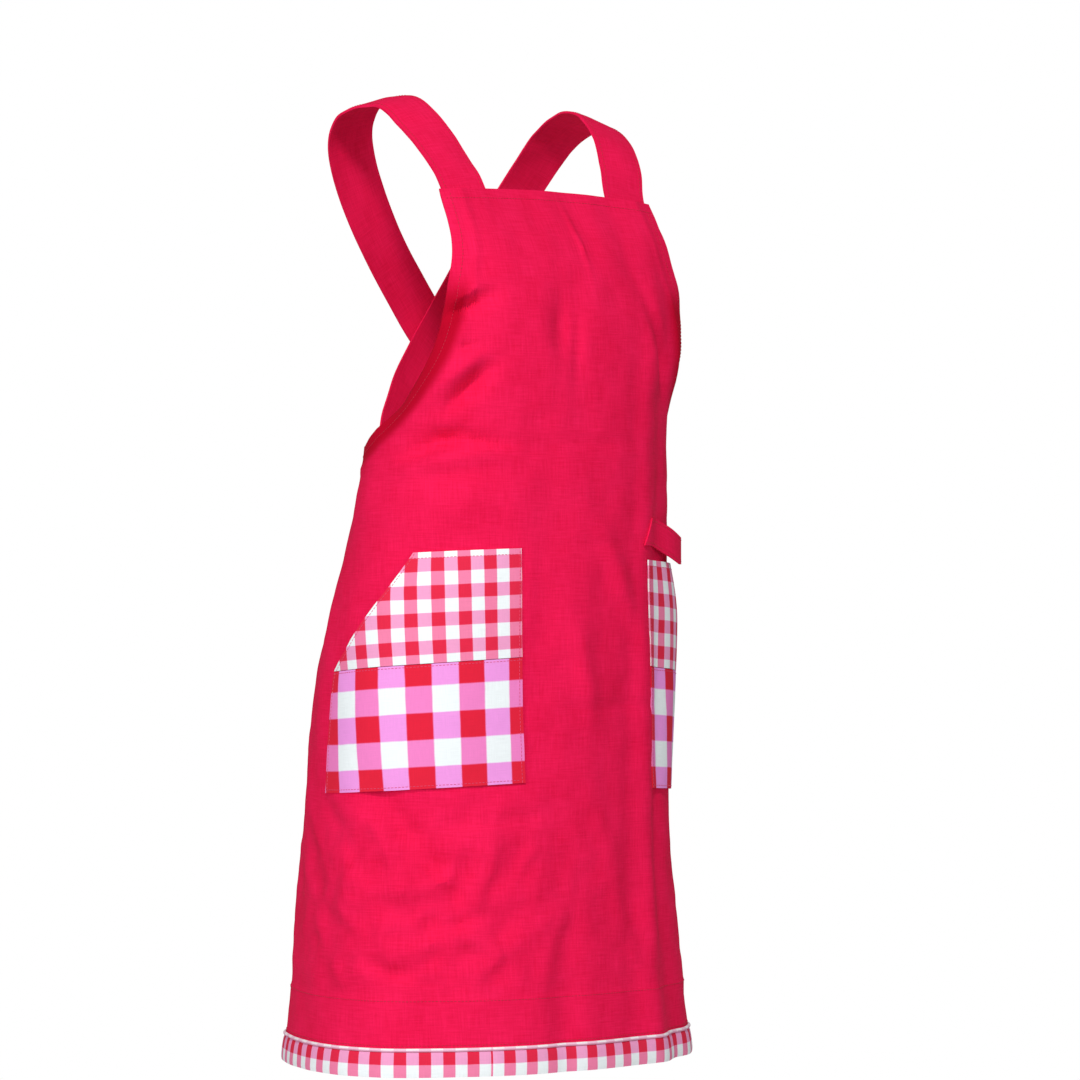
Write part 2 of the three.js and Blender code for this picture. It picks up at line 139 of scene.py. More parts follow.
# Arc length from the centre front, as a table read by angle and height.
# A cell is one degree by 10 mm.
arcAngles = np.arange(-180, 181, 1.0)
arcHeights = np.linspace(0, -1.0, 101)
arcPoints = form(arcAngles[None, :], arcHeights[:, None])
arcRun = np.cumsum(np.linalg.norm(np.diff(arcPoints, axis=1), axis=2), axis=1)
arcTable = np.concatenate([np.zeros((len(arcHeights), 1)), arcRun], axis=1)
arcTable -= arcTable[:, 180:181]


def arc(angle, z):
    angle, z = np.broadcast_arrays(np.asarray(angle, float), np.asarray(z, float))
    x = np.clip(angle + 180, 0, 359.999)
    y = np.clip(-z * 100, 0, 99.999)
    i, j = x.astype(int), y.astype(int)
    s, t = x - i, y - j
    low = arcTable[j, i] * (1 - s) + arcTable[j, i + 1] * s
    high = arcTable[j + 1, i] * (1 - s) + arcTable[j + 1, i + 1] * s
    return low * (1 - t) + high * t


armSteps = 12
armPlaces = np.arange(len(armhole), dtype=float)
armDense = np.linspace(0, len(armhole) - 1, armSteps * (len(armhole) - 1) + 1)
armTop = smooth(armPlaces, armhole[:, 1], armDense)
armZ = -size["drop"] * smooth(armPlaces, armhole[:, 2], armDense)
armLines = {side: np.stack([arc(side * armTop, armZ), armZ], -1) for side in (-1, 1)}

# No armhole edge lies below armFoot, and what is nowhere near one counts as farAway.
armFoot = -0.40
farAway = 9.0


def edgeDistance(angle, z):
    angle, z = np.broadcast_arrays(np.asarray(angle, float), np.asarray(z, float))
    here = np.stack([arc(angle, z).ravel(), z.ravel()], -1)
    out = np.full(len(here), farAway)
    for side, line in armLines.items():
        mine = (np.sign(angle.ravel()) == side) & (z.ravel() > armFoot)
        p = here[mine]
        best = np.full(len(p), farAway)
        for a, b in zip(line[:-1], line[1:]):
            run = b - a
            t = np.clip(((p - a) @ run) / max(run @ run, 1e-12), 0, 1)
            best = np.minimum(best, np.linalg.norm(p - a - t[:, None] * run, axis=1))
        out[mine] = best
    return out.reshape(angle.shape)


noiseSide = 97
noiseGrid = np.random.default_rng(11).uniform(-1, 1, (noiseSide, noiseSide))


def noise(u, v, cell, shift):
    x, y = u / cell + 40.3 + shift, v / cell + 40.7 + 2 * shift
    i, j = np.floor(x).astype(int), np.floor(y).astype(int)
    s, t = x - i, y - j
    s, t = s * s * (3 - 2 * s), t * t * (3 - 2 * t)
    g = lambda a, b: noiseGrid[b % noiseSide, a % noiseSide]
    low = g(i, j) * (1 - s) + g(i + 1, j) * s
    high = g(i, j + 1) * (1 - s) + g(i + 1, j + 1) * s
    return low * (1 - t) + high * t


# The armhole edge rolls inward over its reach, with a ridge where the turning ends. The widths after
# the ridge give the band along the edge whose colour is darkened: partly doubled cloth, partly painted
# shade.
edgeRoll = {"reach": 0.020, "right": 0.0100, "corner": 0.0045, "left": 0.0042, "fall": 1.7,
            "cornerFrom": 72, "cornerTo": 98, "topFrom": 0.185, "topTo": 0.225,
            "backFrom": 112, "backTo": 130, "ridge": 0.0012, "ridgeAt": 0.022,
            "ridgeWide": 0.004, "doubledShade": 0.0190, "doubledShadeLeft": 0.0280,
            "doubledShadeSoft": (0.7, 1.3)}
turnedHem = {"down": 0.922, "ridge": 0.0005, "edge": 0.001, "easeFrom": 0.004, "easeTo": 0.02}

# Crumples of the skirt: pinched ridges of two sizes, with a soft noise between them.
crumples = {"begin": (0.69, 0.77), "end": (0.89, 0.925), "middle": -58, "spread": 46,
            "pinch": 2.2, "large": 0.0038, "largeCell": 0.036, "small": 0.0024,
            "smallCell": 0.021, "soft": 0.0018, "softCell": 0.014}

# Unevenness of the whole cloth: rise, stretch along the height, cell size, shift.
uneven = ((0.0018, 0.5, 0.060, 0), (0.0012, 0.22, 0.026, 3),
          (0.0008, 1, 0.024, 5), (0.0003, 1, 0.010, 9))


def longRise(angle, z):
    down = -z / size["drop"]
    rise = 0 * (angle + z)
    for low, high, top, foot, width, height in folds:
        t = (down - low) / (high - low)
        ends = ease(0, 0.3, t) * (1 if high > 1 else ease(0, 0.3, 1 - t)) * ((t > 0) & (t < 1))
        across = (angle - top - (foot - top) * t) / width
        rise = rise + height * ends * np.exp(-across * across)
    return rise


def rolledShare(angle, z):
    below = ease(edgeRoll["topFrom"], edgeRoll["topTo"], -z / size["drop"])
    return below * (1 - ease(edgeRoll["backFrom"], edgeRoll["backTo"], np.abs(angle)))


def crumpleRise(u, z, angle, down):
    here = ease(*crumples["begin"], down) * (1 - ease(*crumples["end"], down))
    here = here * np.exp(-((angle - crumples["middle"]) / crumples["spread"]) ** 2)
    large = noise(0.8 * u + 0.5 * z, 0.8 * z - 0.4 * u, crumples["largeCell"], 7)
    small = noise(0.7 * u - 0.5 * z, 0.8 * z + 0.4 * u, crumples["smallCell"], 17)
    large = 1 - np.abs(large) * crumples["pinch"]
    small = 1 - np.abs(small) * crumples["pinch"]
    soft = noise(u, z, crumples["softCell"], 13)
    return here * (crumples["large"] * large + crumples["small"] * small + crumples["soft"] * soft)


def fineRise(angle, z):
    u, down = arc(angle, z), -z / size["drop"]
    rise = 0 * u
    for at, deep, tilt, length, width, height in creases:
        du, dv = u - arc(at, -size["drop"] * deep), z + size["drop"] * deep
        c, s = math.cos(math.radians(tilt)), math.sin(math.radians(tilt))
        along, across = (c * du + s * dv) / length, (c * dv - s * du) / width
        rise = rise + creaseScale * height * np.exp(-along ** 2 - across ** 2)
    rise = rise + crumpleRise(u, z, angle, down)
    for height, stretch, cell, shift in uneven:
        rise = rise + height * noise(u, z * stretch, cell, shift)
    d = edgeDistance(angle, z)
    corner = ease(edgeRoll["cornerFrom"], edgeRoll["cornerTo"], -angle)
    onRight = edgeRoll["right"] + (edgeRoll["corner"] - edgeRoll["right"]) * corner
    deep = np.where(angle < 0, onRight, edgeRoll["left"]) * rolledShare(angle, z)
    rise = rise - deep * np.clip(1 - d / edgeRoll["reach"], 0, 1) ** edgeRoll["fall"]
    ridge = np.exp(-((d - edgeRoll["ridgeAt"]) / edgeRoll["ridgeWide"]) ** 2)
    rise = rise + edgeRoll["ridge"] * ridge
    below = (down - turnedHem["down"]) * size["drop"]
    flatter = 1 - 0.5 * ease(turnedHem["easeFrom"], turnedHem["easeTo"], below)
    return rise + turnedHem["ridge"] * ease(-turnedHem["edge"], turnedHem["edge"], below) * flatter


# How far to each side the slopes are read, in degrees and metres.
probe = {"section": 0.05, "angle": 0.35, "height": 0.001}


def cloth(angle, z, fine=1.0):
    angle, z = np.broadcast_arrays(np.asarray(angle, float), np.asarray(z, float))
    along = form(angle + probe["section"], z) - form(angle - probe["section"], z)
    out = np.stack([along[..., 1], -along[..., 0], 0 * z], -1)
    out /= np.linalg.norm(out, axis=-1, keepdims=True)
    rise = longRise(angle, z) + (fine * fineRise(angle, z) if fine else 0)
    return form(angle, z) + out * rise[..., None]


def outward(angle, z, fine=1.0):
    around = cloth(angle + probe["angle"], z, fine) - cloth(angle - probe["angle"], z, fine)
    up = cloth(angle, z + probe["height"], fine) - cloth(angle, z - probe["height"], fine)
    n = np.cross(around, up)
    return n / np.linalg.norm(n, axis=-1, keepdims=True)


def layer(angle, z, offset, fine=1.0):
    return cloth(angle, z, fine) + outward(angle, z, fine) * np.asarray(offset)[..., None]


# A closed wall between two grids of points. Its rims stay sharp beyond sharpAngle.
sharpAngle = 48


def shell(name, outer, inner, uv, doubledShade=None):
    rows, cols = outer.shape[0], outer.shape[1]
    grid = np.arange(rows * cols).reshape(rows, cols)
    back = grid + rows * cols
    quads = [np.stack([grid[:-1, :-1], grid[:-1, 1:], grid[1:, 1:], grid[1:, :-1]], -1),
             np.stack([back[1:, :-1], back[1:, 1:], back[:-1, 1:], back[:-1, :-1]], -1),
             np.stack([back[0, :-1], back[0, 1:], grid[0, 1:], grid[0, :-1]], -1),
             np.stack([grid[-1, :-1], grid[-1, 1:], back[-1, 1:], back[-1, :-1]], -1),
             np.stack([grid[:-1, 0], grid[1:, 0], back[1:, 0], back[:-1, 0]], -1),
             np.stack([back[:-1, -1], back[1:, -1], grid[1:, -1], grid[:-1, -1]], -1)]
    faces = np.concatenate([q.reshape(-1, 4) for q in quads])
    points = np.concatenate([outer.reshape(-1, 3), inner.reshape(-1, 3)])
    mesh = bpy.data.meshes.new(name)
    mesh.from_pydata(points.tolist(), [], faces.tolist())
    mesh.polygons.foreach_set("use_smooth", np.ones(len(faces), bool))
    mesh.set_sharp_from_angle(angle=math.radians(sharpAngle))
    flat = np.concatenate([uv.reshape(-1, 2)] * 2)
    layerUv = mesh.uv_layers.new(name="pattern")
    layerUv.data.foreach_set("uv", flat[faces.reshape(-1)].ravel())
    # The darkened edge band, partly doubled cloth and partly painted shade, is stored as a point
    # attribute.
    if doubledShade is not None:
        shares = np.concatenate([doubledShade.ravel()] * 2)
        marks = mesh.attributes.new("doubledShade", "FLOAT", "POINT")
        marks.data.foreach_set("value", shares)
    obj = bpy.data.objects.new(name, mesh)
    bpy.context.collection.objects.link(obj)
    area = float(sum(p.area for p in mesh.polygons)) / 2
    print("piece", name, len(faces) * 2, "triangles, one side", round(area, 4), "m2")
    return obj


def pieceOf(obj, material, nodes):
    obj.data.materials.append(material)
    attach(obj, "root")
    if nodes:
        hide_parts(*nodes)
    return obj


# The one place where an sRGB hex code becomes a linear colour.
def linear(code):
    parts = [int(code[i:i + 2], 16) / 255 for i in (1, 3, 5)]
    curve = lambda p: p / 12.92 if p <= 0.04045 else ((p + 0.055) / 1.055) ** 2.4
    return [curve(p) for p in parts] + [1.0]


def node(tree, kind, inputs=None, **settings):
    made = tree.nodes.new(kind)
    for key, value in settings.items():
        setattr(made, key, value)
    for key, value in (inputs or {}).items():
        if isinstance(value, bpy.types.NodeSocket):
            tree.links.new(value, made.inputs[key])
        else:
            made.inputs[key].default_value = value
    return made


def newMaterial(name):
    material = bpy.data.materials.new(name)
    material.use_nodes = True
    tree = material.node_tree
    shader = tree.nodes["Principled BSDF"]
    return material, tree, shader


def patternUv(tree):
    return node(tree, "ShaderNodeUVMap", uv_map="pattern").outputs["UV"]


def maths(tree, operation, *values):
    return node(tree, "ShaderNodeMath", dict(enumerate(values)), operation=operation).outputs[0]


def mottle(tree, vector, scale, detail):
    inputs = {"Vector": vector, "Scale": scale, "Detail": detail}
    return node(tree, "ShaderNodeTexNoise", inputs).outputs["Fac"]


# Uneven yarn: noise drawn out along one thread and then along the other.
def yarnNoise(tree, uv, along, across, detail):
    made = []
    for scale in ((along, across, 1), (across, along, 1)):
        mapped = node(tree, "ShaderNodeMapping", {"Vector": uv, "Scale": scale}).outputs["Vector"]
        made.append(mottle(tree, mapped, 1.0, detail))
    return maths(tree, "ADD", made[0], made[1])


def blend(tree, share, low, high, way="MIX"):
    inputs = {0: share, 6: low, 7: high}
    return node(tree, "ShaderNodeMix", inputs, data_type="RGBA", blend_type=way).outputs[2]


def surface(tree, shader, colour, height, settings):
    tree.links.new(colour, shader.inputs["Base Color"])
    shader.inputs["Roughness"].default_value = settings["roughness"]
    shader.inputs["Specular IOR Level"].default_value = settings["specular"]
    inputs = {"Height": height, "Strength": settings["bump"], "Distance": settings["bumpDeep"]}
    bump = node(tree, "ShaderNodeBump", inputs).outputs["Normal"]
    tree.links.new(bump, shader.inputs["Normal"])


# Linen: a matt plain weave in one colour, yarn-dyed, with slubs along both threads.
def linenMaterial(name, hexes, settings):
    material, tree, shader = newMaterial(name)
    uv = patternUv(tree)
    slubs = yarnNoise(tree, uv, settings["slubLong"], settings["slubWide"], 2.0)
    cloudy = mottle(tree, uv, settings["cloudScale"], 3.0)
    mixed = maths(tree, "MULTIPLY_ADD", cloudy, settings["cloudShare"], slubs)
    inputs = {"Value": mixed, "From Min": settings["low"], "From Max": settings["high"]}
    share = node(tree, "ShaderNodeMapRange", inputs).outputs["Result"]
    colour = blend(tree, share, linear(hexes[0]), linear(hexes[1]))
    # The panel's edge band is darkened: partly doubled cloth, partly painted shade where the edge
    # turns from the light.
    if "doubledShadeHex" in settings:
        doubledShade = node(tree, "ShaderNodeAttribute", attribute_name="doubledShade").outputs["Fac"]
        colour = blend(tree, doubledShade, colour, linear(settings["doubledShadeHex"]))
    shader.inputs["Sheen Weight"].default_value = settings["sheen"]
    shader.inputs["Sheen Roughness"].default_value = 0.5
    shader.inputs["Sheen Tint"].default_value = linear(hexes[1])
    threads = []
    for axis in ("X", "Y"):
        inputs = {"Vector": uv, "Scale": settings["thread"], "Distortion": 0.6, "Detail": 1.0}
        wave = node(tree, "ShaderNodeTexWave", inputs, bands_direction=axis)
        threads.append(wave.outputs["Fac"])
    weave = maths(tree, "MULTIPLY", threads[0], threads[1])
    height = maths(tree, "MULTIPLY_ADD", slubs, settings["slubHeight"], weave)
    surface(tree, shader, colour, height, settings)
    return material


# Gingham: yarn-dyed cotton, red and white threads crossed both ways, so half the cells are pink.
def ginghamMaterial(name, hexes, settings):
    material, tree, shader = newMaterial(name)
    uv = patternUv(tree)
    split = node(tree, "ShaderNodeSeparateXYZ", {"Vector": uv}).outputs
    wobble = mottle(tree, uv, settings["wobbleScale"], 1.0)
    masks = []
    for axis, shift in zip("XY", settings["shift"]):
        turns = maths(tree, "MULTIPLY_ADD", split[axis], math.pi / settings["check"], math.pi * shift)
        moved = maths(tree, "MULTIPLY_ADD", wobble, settings["wobble"], turns)
        wave = maths(tree, "SINE", moved)
        inputs = {"Value": wave, "From Min": -settings["soft"], "From Max": settings["soft"]}
        mask = node(tree, "ShaderNodeMapRange", inputs, interpolation_type="SMOOTHSTEP")
        masks.append(mask.outputs["Result"])
    whiteRow = blend(tree, masks[0], linear(hexes["white"]), linear(hexes["pinkColumn"]))
    redRow = blend(tree, masks[0], linear(hexes["pinkRow"]), linear(hexes["red"]))
    checks = blend(tree, masks[1], whiteRow, redRow)
    yarn = yarnNoise(tree, uv, settings["yarnLong"], settings["yarnWide"], 1.0)
    inputs = {"Value": yarn, "From Min": 0.6, "From Max": 1.4,
              "To Min": 1 - settings["grain"], "To Max": 1.0}
    shade = node(tree, "ShaderNodeMapRange", inputs).outputs["Result"]
    surface(tree, shader, blend(tree, 1.0, checks, shade, "MULTIPLY"), yarn, settings)
    return material


# Polyester sewing thread, a little shiny.
def threadMaterial(name, code):
    material, tree, shader = newMaterial(name)
    shader.inputs["Base Color"].default_value = linear(code)
    shader.inputs["Roughness"].default_value = 0.55
    return material


linenLook = {"slubLong": 45, "slubWide": 900, "slubHeight": 1.4, "cloudScale": 22,
             "cloudShare": 0.7, "low": 0.75, "high": 1.95, "roughness": 0.85, "specular": 0.08,
             "sheen": 0.04, "thread": 290, "bump": 0.3, "bumpDeep": 0.0004}
ginghamLook = {"soft": 0.10, "wobble": 0.10, "wobbleScale": 60.0, "grain": 0.12,
               "yarnLong": 70, "yarnWide": 2600, "roughness": 0.8, "specular": 0.2,
               "bump": 0.3, "bumpDeep": 0.0003}
largeChecks = {**ginghamLook, "check": 0.0231, "shift": (0.42, 0.174)}
smallChecks = {**ginghamLook, "check": 0.0115, "shift": (-0.03, 1.339)}
hemChecks = {**ginghamLook, "check": 0.0108, "shift": (0.0, 0.0)}
flangeChecks = {**ginghamLook, "check": 0.0108, "shift": (0.0, 1.0)}
linenHexes = ("#d9093b", "#fa1e5c")
largeHexes = {"red": "#e51c3b", "pinkColumn": "#f585c9", "pinkRow": "#f39be6", "white": "#f3fafc"}
smallHexes = {"red": "#e52447", "pinkColumn": "#f483ab", "pinkRow": "#f3a2cd", "white": "#f3fafc"}
# The flange's colours are the small gingham's colours made paler: a painted highlight where the folded
# flange catches light.
flangeHighlightHexes = {"red": "#f0a9c8", "pinkColumn": "#f6cfe2", "pinkRow": "#f3bcd6", "white": "#fbf7fa"}
redLinen = linenMaterial("red_linen", linenHexes, linenLook)
# The panel's linen darkens a band along the armhole edge: partly doubled cloth, partly painted shade.
shadedPanelLinen = linenMaterial("red_linen_panel_shaded", linenHexes, {**linenLook, "doubledShadeHex": "#b80026"})
largeGingham = ginghamMaterial("cotton_gingham_large", largeHexes, largeChecks)
smallGingham = ginghamMaterial("cotton_gingham_small", smallHexes, smallChecks)
hemGingham = ginghamMaterial("cotton_gingham_hem", smallHexes, hemChecks)
pipingGingham = ginghamMaterial("cotton_gingham_piping", flangeHighlightHexes, flangeChecks)
redThread = threadMaterial("red_sewing_thread", "#c01039")
pinkThread = threadMaterial("pink_sewing_thread", "#d9466f")
print("stage: materials")

# The front panel: bib and skirt in one red linen cut.
panel = {"bibColumns": 44, "rowColumns": 8, "rows": 150, "foot": 0.9975, "fan": 3.0,
         "bibTop": 0.1007, "turning": 0.001, "turningFrom": 0.919, "turningTo": 0.926,
         "levels": (0.9975, 0.99, 0.98, 0.97, 0.96, 0.95, 0.94, 0.93, 0.9255, 0.9235,
                    0.922, 0.9205)}


# The bib's top edge, down as a share of the drop, from 0 at the middle to 1 at the corner.
def bibEdge(share):
    return panel["bibTop"] + (armhole[0, 2] - panel["bibTop"]) * share ** 2


def mirrored(values, sign):
    return np.concatenate([sign * values[:0:-1], values])


def panelColumns():
    bib = np.linspace(0, 1, panel["bibColumns"] + 1)[:-1]
    rows = np.linspace(0, len(armhole) - 1, panel["rowColumns"] * (len(armhole) - 1) + 1)
    hem = np.concatenate([armhole[0, 0] * bib, smooth(armPlaces, armhole[:, 0], rows)])
    top = np.concatenate([armhole[0, 1] * bib, smooth(armPlaces, armhole[:, 1], rows)])
    down = np.concatenate([bibEdge(bib), smooth(armPlaces, armhole[:, 2], rows)])
    return mirrored(hem, -1), mirrored(top, -1), mirrored(down, 1)


hemAngles, topAngles, topDowns = panelColumns()
levels = np.array(panel["levels"])
share = np.linspace(0, 1, panel["rows"] - len(levels) + 2)[1:]
depth = np.concatenate([np.repeat(levels[:, None], len(hemAngles), 1),
                        levels[-1] + (topDowns[None, :] - levels[-1]) * share[:, None]])
climbed = (panel["foot"] - depth) / (panel["foot"] - topDowns[None, :])
panelAngle = hemAngles + (topAngles - hemAngles) * climbed ** panel["fan"]
panelZ = -size["drop"] * depth
panelOuter = cloth(panelAngle, panelZ)
panelNormal = outward(panelAngle, panelZ)
turning = panel["turning"] * ease(panel["turningFrom"], panel["turningTo"], depth)
panelInner = panelOuter - panelNormal * (size["cloth"] + turning)[..., None]
panelUv = np.stack([arc(panelAngle, panelZ), panelZ], -1)
# A darkened band along the armhole edge: partly doubled cloth, partly painted shade; wider on the
# wearer's left, where the side turns away from the light.
doubledShadeWide = np.where(panelAngle > 0, edgeRoll["doubledShadeLeft"], edgeRoll["doubledShade"])
fromEdge = edgeDistance(panelAngle, panelZ) / doubledShadeWide
nearEdge = 1 - ease(*edgeRoll["doubledShadeSoft"], fromEdge)
panelDoubledShade = nearEdge * rolledShare(panelAngle, panelZ)
frontPanel = shell("front_panel_cloth", panelOuter, panelInner, panelUv, panelDoubledShade)
pieceOf(frontPanel, shadedPanelLinen, ["front_panel"])
print("stage: panel")

# The straps: flat double linen, sewn behind the bib and inside the opposite back corner.
strap = {"width": 0.049, "wall": 0.0022, "gap": 0.0014, "columns": 14, "rowsASpan": 14,
         "camber": 0.0012, "uneven": 0.0006, "unevenCell": 0.02, "span": 0.045}

# Each row is a place on the strap's middle line: out, back and down as shares of the body,
# the way it faces in degrees, its lean, and how closely it clings to the panel.
strapRight = np.array([
    [0.45, -0.35, 0.138, 0, 0, 1], [0.455, -0.26, 0.104, 8, 0, 1], [0.47, -0.19, 0.08, 25, 0, 0.25],
    [0.486, -0.08, 0.051, 42, 0.1, 0], [0.505, 0.03, 0.026, 62, 0.2, 0],
    [0.528, 0.13, 0.0095, 82, 0.26, 0], [0.553, 0.26, 0.0085, 100, 0.26, 0],
    [0.555, 0.39, 0.018, 118, 0.2, 0], [0.522, 0.49, 0.043, 145, 0.1, 0],
    [0.43, 0.545, 0.088, 168, 0, 0], [0.29, 0.575, 0.143, 178, 0, 0], [0.14, 0.578, 0.195, 180, 0, 0],
    [0, 0.563, 0.243, 182, 0, 0], [-0.15, 0.522, 0.289, 184, 0, 0.1], [-0.29, 0.44, 0.33, 186, 0, 1],
    [-0.38, 0.36, 0.358, 184, 0, 1], [-0.43, 0.36, 0.383, 180, 0, 1],
])
strapLeft = np.array([
    [0.452, -0.35, 0.138, 0, 0, 1], [0.464, -0.26, 0.104, 8, 0, 1], [0.486, -0.2, 0.07, 20, 0, 0.25],
    [0.496, -0.13, 0.041, 34, 0.1, 0], [0.504, -0.03, 0.02, 56, 0.2, 0],
    [0.512, 0.09, 0.0125, 80, 0.26, 0], [0.522, 0.22, 0.018, 102, 0.26, 0],
    [0.522, 0.35, 0.034, 125, 0.2, 0], [0.49, 0.45, 0.062, 148, 0.1, 0],
    [0.4, 0.505, 0.103, 168, 0, 0], [0.27, 0.526, 0.15, 178, 0, 0], [0.14, 0.529, 0.197, 180, 0, 0],
    [0, 0.518, 0.243, 182, 0, 0], [-0.15, 0.483, 0.289, 184, 0, 0.1], [-0.29, 0.42, 0.33, 186, 0, 1],
    [-0.38, 0.36, 0.358, 184, 0, 1], [-0.43, 0.36, 0.383, 180, 0, 1],
])


# The angle at which the body's section reaches x, in front or on the back, by halving.
halvings = 26


def angleAt(x, z, onBack):
    near, far = np.where(onBack, 180.0, 0.0), np.full(x.shape, 90.0)
    side = np.where(x < 0, -1.0, 1.0)
    for _ in range(halvings):
        middle = (near + far) / 2
        short = np.abs(form(side * middle, z)[..., 0]) < np.abs(x)
        near, far = np.where(short, middle, near), np.where(short, far, middle)
    return side * (near + far) / 2


def strapFrame(table, side, row):
    places = np.arange(len(table), dtype=float)
    read = lambda k, at: smooth(places, table[:, k], np.clip(at, 0, len(table) - 1))
    scales = (side * size["halfWidth"], size["halfDepth"], -size["drop"])
    centre = lambda at: np.stack([scale * read(k, at) for k, scale in enumerate(scales)], -1)
    along = centre(row + 0.05) - centre(row - 0.05)
    along /= np.linalg.norm(along, axis=-1, keepdims=True)
    turned = np.radians(read(3, row))
    facing = np.stack([side * read(4, row), -np.cos(turned), np.sin(turned)], -1)
    across = np.cross(along, facing)
    across /= np.linalg.norm(across, axis=-1, keepdims=True)
    return centre(row), across, np.cross(across, along), ease(0, 1, read(5, row))


def strapPoints(table, side, row, shift, offset):
    centre, across, up, cling = strapFrame(table, side, row)
    bow = strap["camber"] * (1 - (2 * shift / strap["width"]) ** 2)
    bow = bow + strap["uneven"] * noise(row * strap["span"] + 0 * shift, shift, strap["unevenCell"], 3)
    free = centre + across * shift[..., None]
    loose = free + up * (offset + (1 - cling) * bow)[..., None]
    angle = angleAt(free[..., 0], free[..., 2], row > (len(table) - 1) / 2)
    behind = offset - size["cloth"] - strap["gap"] - strap["wall"] / 2
    sewn = layer(angle, free[..., 2], behind, 0.0)
    return loose * (1 - cling)[..., None] + sewn * cling[..., None]


def strapPiece(name, table, side, solid):
    row = np.linspace(0, len(table) - 1, strap["rowsASpan"] * (len(table) - 1) + 1)[:, None]
    shift = strap["width"] * (np.linspace(0, 1, strap["columns"] + 1)[None, :] - 0.5)
    row, shift = np.broadcast_arrays(row, shift)
    half = strap["wall"] / 2 + 0 * row
    outer = strapPoints(table, side, row, shift, half)
    inner = strapPoints(table, side, row, shift, -half)
    middle = outer[:, strap["columns"] // 2]
    length = np.concatenate([[0], np.cumsum(np.linalg.norm(np.diff(middle, axis=0), axis=1))])
    print("strap length", round(float(length[-1]), 3))
    obj = shell(name, outer, inner, np.stack([shift, length[:, None] + 0 * row], -1))
    return pieceOf(obj, redLinen, [solid])


rightStrap = strapPiece("right_strap_cloth", strapRight, -1, "strap_right")
leftStrap = strapPiece("left_strap_cloth", strapLeft, 1, "strap_left")
print("stage: straps")

# The patch pockets: small gingham above, large gingham below, open along the slanted mouth.
pocket = {"wall": 0.0014, "gap": 0.0011, "slack": 0.007, "slackFall": 1.2, "belly": 0.55,
          "seam": 0.0006, "drop": 0.011, "bow": 3, "columns": 90, "rows": 56, "crowding": 1.2,
          "upperTall": 0.0930, "lowerTall": 0.1070, "fine": 0.35}

# Top, seam and bottom: outer angle and down, inner angle and down, turn of the left pocket.
pocketRows = np.array([
    [64.8, 0.475, 26, 0.4702, 1], [97.3, 0.5955, 23.2, 0.58, 4.3], [98.1, 0.7185, 21.4, 0.707, 11],
])


def pocketSpot(side, isUpper, across, up):
    high, low = (pocketRows[0], pocketRows[1]) if isUpper else (pocketRows[1], pocketRows[2])
    corner = low[:, None, None] + (high - low)[:, None, None] * up
    outerAngle, outerDown, innerAngle, innerDown, turned = corner
    down = outerDown + (innerDown - outerDown) * across + (pocket["drop"] if side > 0 else 0)
    down = down + (0 if isUpper else pocket["seam"] * up)
    bow = pocket["bow"] * np.sin(np.pi * up) * (1 - across) if isUpper else 0
    turned = turned if side > 0 else 0
    angle = side * (outerAngle + (innerAngle - outerAngle) * across - bow + turned)
    belly = pocket["belly"] * np.sin(np.pi * across)
    if isUpper:
        slack = (1 - across) ** pocket["slackFall"] * np.sin(np.pi * up) + belly * (1 - up)
    else:
        slack = belly * np.sin(np.pi / 2 * up)
    return angle, -size["drop"] * down, pocket["gap"] + pocket["slack"] * slack


def pocketPiece(name, side, isUpper, solid):
    u, v = np.linspace(0, 1, pocket["columns"] + 1), np.linspace(0, 1, pocket["rows"] + 1)
    fromInner = 1 - u if side < 0 else u
    across, up = np.meshgrid(1 - fromInner ** pocket["crowding"], v)
    angle, z, out = pocketSpot(side, isUpper, across, up)
    innerAngle = pocketSpot(side, isUpper, 0 * across + 1, up)[0]
    run = np.abs(arc(angle, z) - arc(innerAngle, z))
    tall = up * pocket["upperTall"] if isUpper else (1 - up) * pocket["lowerTall"]
    outer = layer(angle, z, out + pocket["wall"], pocket["fine"])
    obj = shell(name, outer, layer(angle, z, out, pocket["fine"]), np.stack([run, tall], -1))
    if isUpper:
        return pieceOf(obj, smallGingham, [solid])
    return pieceOf(obj, largeGingham, [solid])


for side, word in ((-1, "right"), (1, "left")):
    for isUpper, part in ((True, "upper"), (False, "lower")):
        name, solid = f"{word}_pocket_{part}_cloth", f"pocket_{word}_{part}"
        pocketPiece(name, side, isUpper, solid)
print("stage: pockets")

# The hem: a gingham band over the foot of the panel, under a narrow folded flange.
hem = {"gap": 0.00045, "back": 160, "columns": 560, "joinAngle": -31.75, "joinWide": 0.35,
       "joinDeep": 0.0007, "joinShift": 0.0006, "check": 0.0108, "checksTall": 1.97,
       "rim": 0.35, "fine": 0.5}
band = {"top": 0.975, "foot": 1.0, "wall": 0.0016, "spread": 0.0012, "rows": 8}
flange = {"top": 0.971, "foot": 0.9747, "wall": 0.0021, "spread": 0, "rows": 5}


